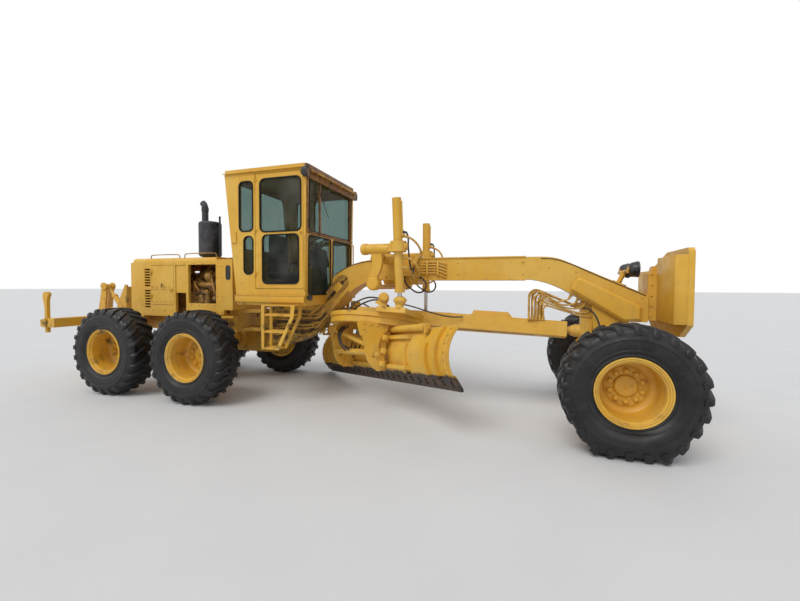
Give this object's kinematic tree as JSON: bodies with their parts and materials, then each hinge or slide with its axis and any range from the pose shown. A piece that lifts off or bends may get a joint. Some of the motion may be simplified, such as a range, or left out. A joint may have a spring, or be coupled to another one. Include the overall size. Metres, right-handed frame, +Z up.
{
  "type": "articulated motor grader",
  "caption": "Articulated motor grader: engine frame on tandem drive, cab, long bridge frame, drawbar with turning circle and side-shifting blade, leaning steered front axle and rear ripper.",
  "frame": {"origin": "on the ground, under the middle of the machine's overall length and width", "axes": "+X forward, +Y to the machine's left, +Z up"},
  "size_m": [10.06, 3.0641, 3.4775],
  "materials": {
    "yellow_paint": "weathered semi-gloss",
    "cab_paint": "weathered semi-gloss",
    "tyre_rubber": "worn matt",
    "rod_chrome": "polished",
    "engine_iron": "oily",
    "exhaust_black": "matt",
    "lamp_black": "matt",
    "window_glass": "clear, dusty",
    "seat_cover": "worn",
    "console_grey": "satin",
    "edge_steel": "worn, rusty"
  },
  "bodies": {
    "rear_frame": {"rear_frame": "yellow_paint", "tandem": "yellow_paint", "engine": "engine_iron", "hood": "yellow_paint", "radiator_guard": "yellow_paint", "exhaust": "exhaust_black"},
    "engine_door_R": {"engine_door_R": "yellow_paint"},
    "engine_door_L": {"engine_door_L": "yellow_paint"},
    "ripper": {"ripper": "yellow_paint"},
    "ripper_barrel": {"ripper_barrel": "yellow_paint"},
    "ripper_rod": {"ripper_rod": "yellow_paint"},
    "wheel_1R": {"tyre_1R": "tyre_rubber", "rim_1R": "yellow_paint"},
    "wheel_1L": {"tyre_1L": "tyre_rubber", "rim_1L": "yellow_paint"},
    "wheel_2R": {"tyre_2R": "tyre_rubber", "rim_2R": "yellow_paint"},
    "wheel_2L": {"tyre_2L": "tyre_rubber", "rim_2L": "yellow_paint"},
    "wheel_3R": {"tyre_3R": "tyre_rubber", "rim_3R": "yellow_paint"},
    "wheel_3L": {"tyre_3L": "tyre_rubber", "rim_3L": "yellow_paint"},
    "front_frame": {"front_frame": "yellow_paint", "cab_base": "yellow_paint", "saddle": "yellow_paint", "front_axle": "yellow_paint", "push_plate": "yellow_paint", "lamps": "lamp_black", "hoses": "lamp_black", "cab_frame": "cab_paint", "cab_roof": "cab_paint", "cab_glass": "window_glass", "seat": "seat_cover", "console": "console_grey", "lift_barrel_L": "yellow_paint", "lift_rod_L": "rod_chrome"},
    "cab_door_R": {"cab_door_R": "cab_paint", "door_glass_R": "window_glass"},
    "cab_door_L": {"cab_door_L": "cab_paint", "door_glass_L": "window_glass"},
    "lean_bracket_R": {"lean_bracket_R": "yellow_paint"},
    "lean_bracket_L": {"lean_bracket_L": "yellow_paint"},
    "knuckle_R": {"knuckle_R": "yellow_paint"},
    "knuckle_L": {"knuckle_L": "yellow_paint"},
    "lean_bar": {"lean_bar": "yellow_paint"},
    "tie_rod": {"tie_rod": "yellow_paint"},
    "lift_barrel_R": {"lift_barrel_R": "yellow_paint"},
    "lift_rod_R": {"lift_rod_R": "rod_chrome"},
    "drawbar": {"drawbar": "yellow_paint"},
    "turn_circle": {"turn_circle": "yellow_paint"},
    "blade_brackets": {"blade_brackets": "yellow_paint", "shift_rod": "rod_chrome"},
    "mouldboard": {"mouldboard": "yellow_paint", "cutting_edge": "edge_steel", "shift_barrel": "yellow_paint"}
  },
  "joints": [
    {"name": "articulation", "type": "hinge", "parent": "rear_frame", "child": "front_frame", "pos_m": [-0.95, 0, 1.145], "axis": [0, 0, 1], "range_deg": [-20, 5]},
    {"name": "engine_door_R_open", "type": "hinge", "parent": "rear_frame", "child": "engine_door_R", "pos_m": [-2.8365, -0.562, 1.65], "axis": [0, 0, -1], "range_deg": [0, 100]},
    {"name": "engine_door_L_open", "type": "hinge", "parent": "rear_frame", "child": "engine_door_L", "pos_m": [-2.8365, 0.562, 1.65], "axis": [0, 0, 1], "range_deg": [0, 100]},
    {"name": "ripper_lift", "type": "hinge", "parent": "rear_frame", "child": "ripper", "pos_m": [-4.25, 0, 0.64], "axis": [0, 1, 0], "range_deg": [-35, 0]},
    {"name": "ripper_barrel_swing", "type": "hinge", "parent": "rear_frame", "child": "ripper_barrel", "pos_m": [-4.175, 0, 1.19], "axis": [0, 1, 0], "range_deg": [-41.78, 0]},
    {"name": "ripper_rod_slide", "type": "slide", "parent": "ripper_barrel", "child": "ripper_rod", "axis": [-0.6891, 0, 0.7246], "range_m": [-0.0001, 0.3185]},
    {"name": "wheel_1R_spin", "type": "hinge", "parent": "rear_frame", "child": "wheel_1R", "pos_m": [-2.905, -1.147, 0.685], "axis": [0, 1, 0], "continuous": true},
    {"name": "wheel_1L_spin", "type": "hinge", "parent": "rear_frame", "child": "wheel_1L", "pos_m": [-2.905, 1.147, 0.685], "axis": [0, 1, 0], "continuous": true},
    {"name": "wheel_2R_spin", "type": "hinge", "parent": "rear_frame", "child": "wheel_2R", "pos_m": [-1.295, -1.147, 0.685], "axis": [0, 1, 0], "continuous": true},
    {"name": "wheel_2L_spin", "type": "hinge", "parent": "rear_frame", "child": "wheel_2L", "pos_m": [-1.295, 1.147, 0.685], "axis": [0, 1, 0], "continuous": true},
    {"name": "lean_R", "type": "hinge", "parent": "front_frame", "child": "lean_bracket_R", "pos_m": [4.36, -0.74, 0.5], "axis": [1, 0, 0], "range_deg": [-18, 18]},
    {"name": "lean_L", "type": "hinge", "parent": "front_frame", "child": "lean_bracket_L", "pos_m": [4.36, 0.74, 0.5], "axis": [1, 0, 0], "range_deg": [-18, 18]},
    {"name": "steer_R", "type": "hinge", "parent": "lean_bracket_R", "child": "knuckle_R", "pos_m": [4.36, -0.82, 0.685], "axis": [0, 0, 1], "range_deg": [-45, 45]},
    {"name": "wheel_3R_spin", "type": "hinge", "parent": "knuckle_R", "child": "wheel_3R", "pos_m": [4.36, -1.147, 0.685], "axis": [0, 1, 0], "continuous": true},
    {"name": "steer_L", "type": "hinge", "parent": "lean_bracket_L", "child": "knuckle_L", "pos_m": [4.36, 0.82, 0.685], "axis": [0, 0, 1], "range_deg": [-45, 45]},
    {"name": "wheel_3L_spin", "type": "hinge", "parent": "knuckle_L", "child": "wheel_3L", "pos_m": [4.36, 1.147, 0.685], "axis": [0, 1, 0], "continuous": true},
    {"name": "lean_bar_slide", "type": "slide", "parent": "front_frame", "child": "lean_bar", "axis": [0, 1, 0], "range_m": [-0.133, 0.133]},
    {"name": "tie_rod_slide", "type": "slide", "parent": "front_frame", "child": "tie_rod", "axis": [0, 1, 0], "range_m": [-0.1415, 0.1415]},
    {"name": "cab_door_R_open", "type": "hinge", "parent": "front_frame", "child": "cab_door_R", "pos_m": [-0.497, -0.7915, 2.5], "axis": [0, 0, -1], "range_deg": [0, 110]},
    {"name": "cab_door_L_open", "type": "hinge", "parent": "front_frame", "child": "cab_door_L", "pos_m": [-0.497, 0.7915, 2.5], "axis": [0, 0, 1], "range_deg": [0, 110]},
    {"name": "blade_lift_R", "type": "hinge", "parent": "front_frame", "child": "drawbar", "pos_m": [3.95, 0, 1.15], "axis": [0.946, -0.3237, -0.0156], "range_deg": [0, 13]},
    {"name": "lift_barrel_R_swing", "type": "hinge", "parent": "front_frame", "child": "lift_barrel_R", "pos_m": [1.73, -0.75, 2.25], "axis": [1, 0, 0], "range_deg": [-3.54, 0]},
    {"name": "lift_rod_R_slide", "type": "slide", "parent": "lift_barrel_R", "child": "lift_rod_R", "axis": [0.0185, 0.0714, -0.9973], "range_m": [-0.0001, 0.3053]},
    {"name": "circle_turn", "type": "hinge", "parent": "drawbar", "child": "turn_circle", "pos_m": [1.19606, -0.03735, 1.1001], "axis": [0.0373, 0.2334, 0.9717], "range_deg": [-84, 0]},
    {"name": "blade_tip", "type": "hinge", "parent": "turn_circle", "child": "blade_brackets", "pos_m": [1.02655, -0.32313, 0.57835], "axis": [-0.725, 0.6755, -0.1344], "range_deg": [0, 25]},
    {"name": "blade_shift", "type": "slide", "parent": "blade_brackets", "child": "mouldboard", "axis": [0.725, -0.6755, 0.1344], "range_m": [-0.5, 0.6]}
  ],
  "couplings": [
    {"joint": "lean_L", "follows": "lean_R", "ratio": 1},
    {"joint": "lean_bar_slide", "follows": "lean_R", "m_per_rad": -0.42296},
    {"joint": "steer_L", "follows": "steer_R", "ratio": 1},
    {"joint": "tie_rod_slide", "follows": "steer_R", "m_per_rad": -0.18006},
    {"joint": "lift_barrel_R_swing", "follows": "blade_lift_R", "ratio": -0.27238},
    {"joint": "lift_rod_R_slide", "follows": "blade_lift_R", "m_per_rad": 1.3453},
    {"joint": "ripper_barrel_swing", "follows": "ripper_lift", "ratio": 1.1936},
    {"joint": "ripper_rod_slide", "follows": "ripper_lift", "m_per_rad": -0.52129}
  ]
}
